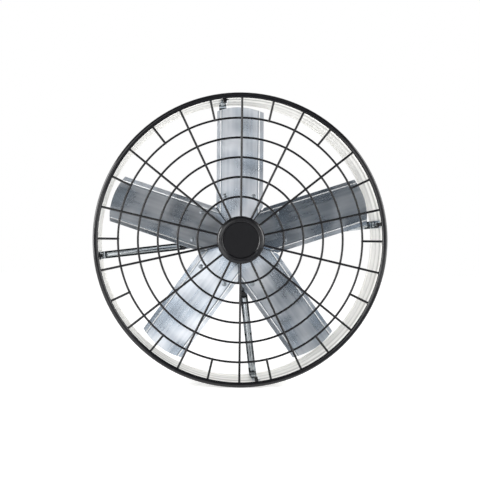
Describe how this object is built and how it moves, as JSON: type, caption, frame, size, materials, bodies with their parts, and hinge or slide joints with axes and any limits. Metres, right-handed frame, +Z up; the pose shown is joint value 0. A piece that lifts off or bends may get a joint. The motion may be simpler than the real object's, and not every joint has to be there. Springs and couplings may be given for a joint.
{
  "type": "industrial exhaust fan",
  "caption": "Ring-type wall exhaust fan: round duct casing with a wire guard in front, sheet-metal blades on a spider hub, and a motor held on four struts.",
  "frame": {"origin": "on the fan axis, in the plane where the rear face of the front lip meets the wall", "axes": "+Y along the fan axis from the grille to the motor, -Y towards the viewer of the grille, +Z up"},
  "size_m": [0.544, 0.2438, 0.5439],
  "materials": {
    "casing_paint": "satin",
    "black_coat": "gloss",
    "cap_plastic": "fine texture",
    "blade_sheet": "brushed",
    "zinc_sheet": "galvanised",
    "zinc_fastener": "zinc plated",
    "black_fastener": "black",
    "motor_paint": "semi-gloss",
    "lamination": "varnished",
    "shaft_steel": "ground",
    "hub_casting": "as cast",
    "winding_copper": "varnished",
    "bearing_steel": "polished",
    "box_plastic": "matt",
    "pale_plastic": "matt"
  },
  "bodies": {
    "casing": {"casing_sleeve": "casing_paint", "grille_rim": "black_coat", "grille_short_spokes": "black_coat", "grille_plate": "black_coat", "grille_cap": "cap_plastic", "cap_screws": "black_fastener", "grille_lugs": "black_coat", "lug_screws": "black_fastener", "foot_rivets": "zinc_fastener", "strut_screws": "black_fastener", "stator_core": "lamination", "stator_windings": "winding_copper", "front_shield": "motor_paint", "rear_shield": "motor_paint", "front_bearing": "bearing_steel", "rear_bearing": "bearing_steel", "tie_bolts": "zinc_fastener", "tie_nuts": "zinc_fastener", "terminal_box": "box_plastic", "terminal_cover": "box_plastic", "cover_screws": "zinc_fastener", "box_screws": "zinc_fastener", "cable_gland": "box_plastic", "run_capacitor": "pale_plastic", "terminal_block": "pale_plastic", "grille_ring_1": "black_coat", "grille_ring_2": "black_coat", "grille_ring_3": "black_coat", "grille_ring_4": "black_coat", "grille_ring_5": "black_coat", "grille_spoke_1": "black_coat", "grille_spoke_2": "black_coat", "grille_spoke_3": "black_coat", "grille_spoke_4": "black_coat", "grille_spoke_5": "black_coat", "grille_spoke_6": "black_coat", "grille_spoke_7": "black_coat", "grille_spoke_8": "black_coat", "grille_spoke_9": "black_coat", "grille_spoke_10": "black_coat", "grille_spoke_11": "black_coat", "grille_spoke_12": "black_coat", "grille_spoke_13": "black_coat", "grille_spoke_14": "black_coat", "motor_strut_1": "zinc_sheet", "motor_strut_2": "zinc_sheet", "motor_strut_3": "zinc_sheet", "motor_strut_4": "zinc_sheet"},
    "rotor": {"motor_shaft": "shaft_steel", "rotor_core": "lamination", "hub_spider": "hub_casting", "hub_set_screw": "black_fastener", "hub_washer": "zinc_fastener", "hub_nut": "zinc_fastener", "blade_rivets": "zinc_fastener", "blade_1": "blade_sheet", "blade_2": "blade_sheet", "blade_3": "blade_sheet", "blade_4": "blade_sheet", "blade_5": "blade_sheet"}
  },
  "joints": [
    {"name": "rotor_spin", "type": "hinge", "parent": "casing", "child": "rotor", "pos_m": [0, 0, 0], "axis": [0, 1, 0], "continuous": true}
  ]
}
